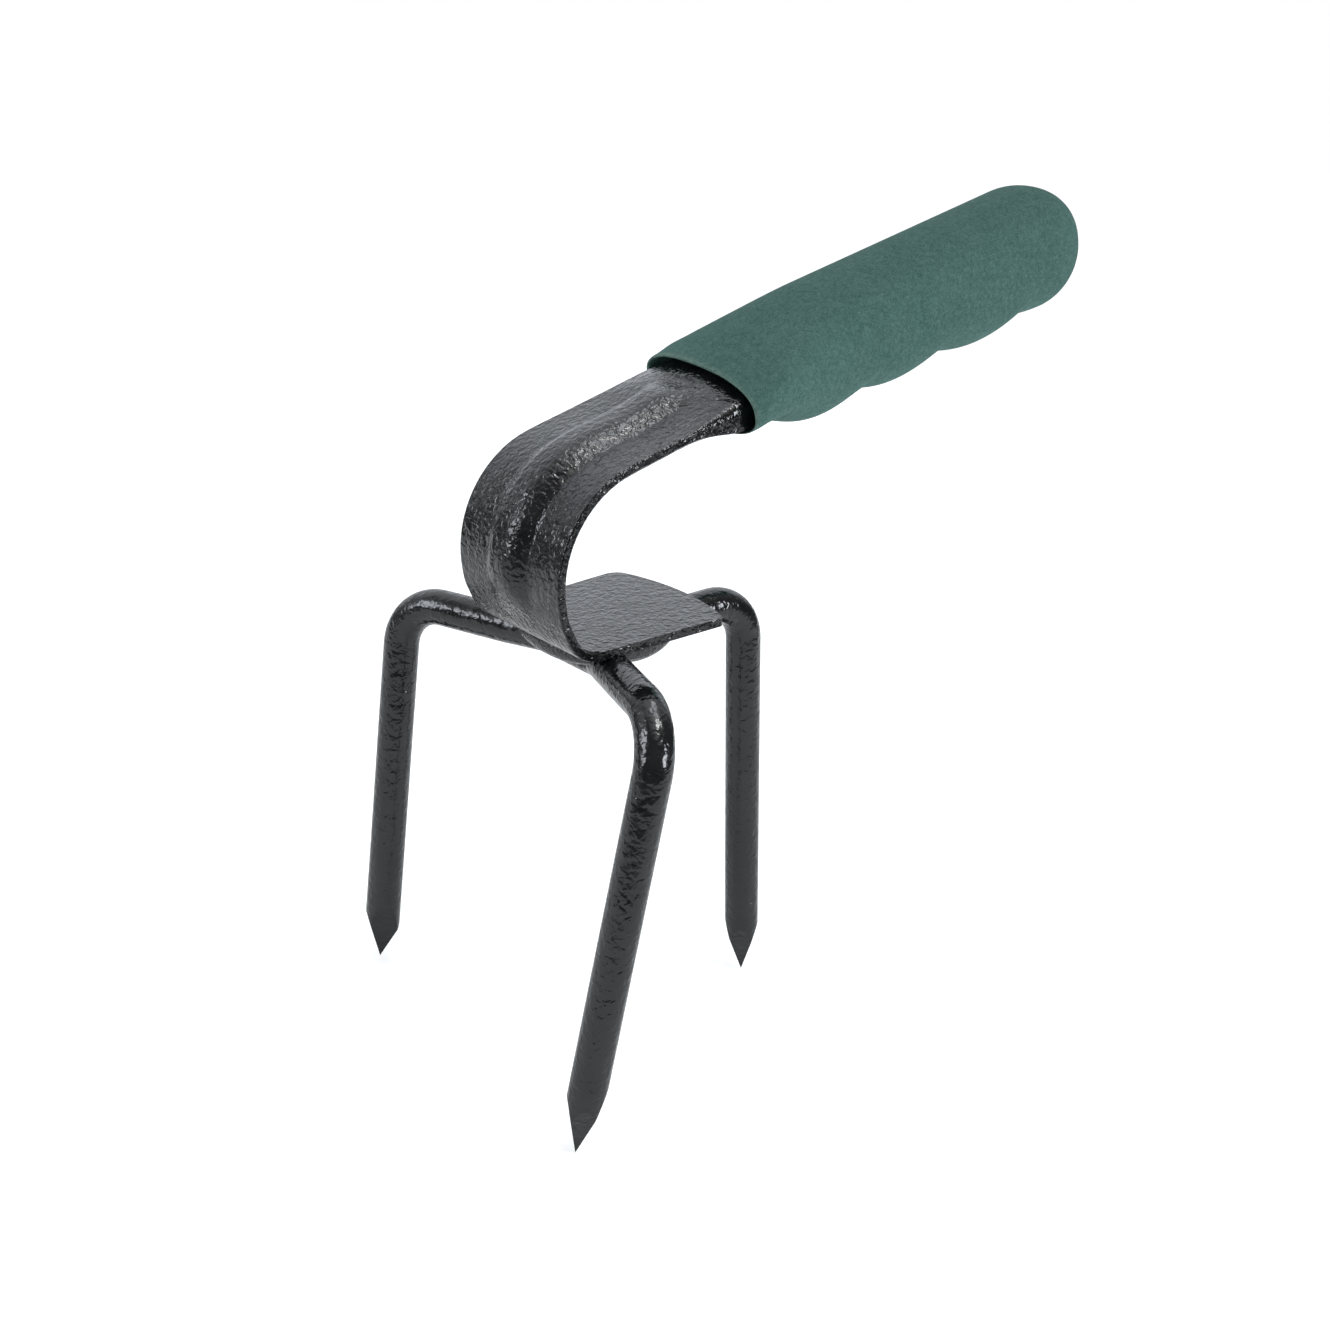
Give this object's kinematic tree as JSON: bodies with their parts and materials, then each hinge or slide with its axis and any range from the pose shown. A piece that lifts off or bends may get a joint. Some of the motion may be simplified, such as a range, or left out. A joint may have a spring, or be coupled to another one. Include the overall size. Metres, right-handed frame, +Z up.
{
  "type": "hand cultivator",
  "caption": "Short three-tine hand cultivator: pressed steel neck with a stiffening rib, round bar tines and a green foam grip.",
  "frame": {"origin": "middle of the grip, on the line of symmetry, where the palm closes", "axes": "+X from the front of the neck towards the hand end, +Y to the left as seen by someone at the tines looking towards the hand, +Z up, so the tines point down -Z; the grip rises 11.8 degrees towards +X"},
  "size_m": [0.1839, 0.0957, 0.1791],
  "materials": {
    "black_enamel": "hammered gloss",
    "green_foam": "matte foam"
  },
  "bodies": {
    "root": {"pressed_steel_neck": "black_enamel", "outer_tine_rod": "black_enamel", "centre_tine_rod": "black_enamel", "weld_bead_front": "black_enamel", "weld_bead_left": "black_enamel", "weld_bead_right": "black_enamel", "foam_grip": "green_foam"}
  },
  "joints": []
}
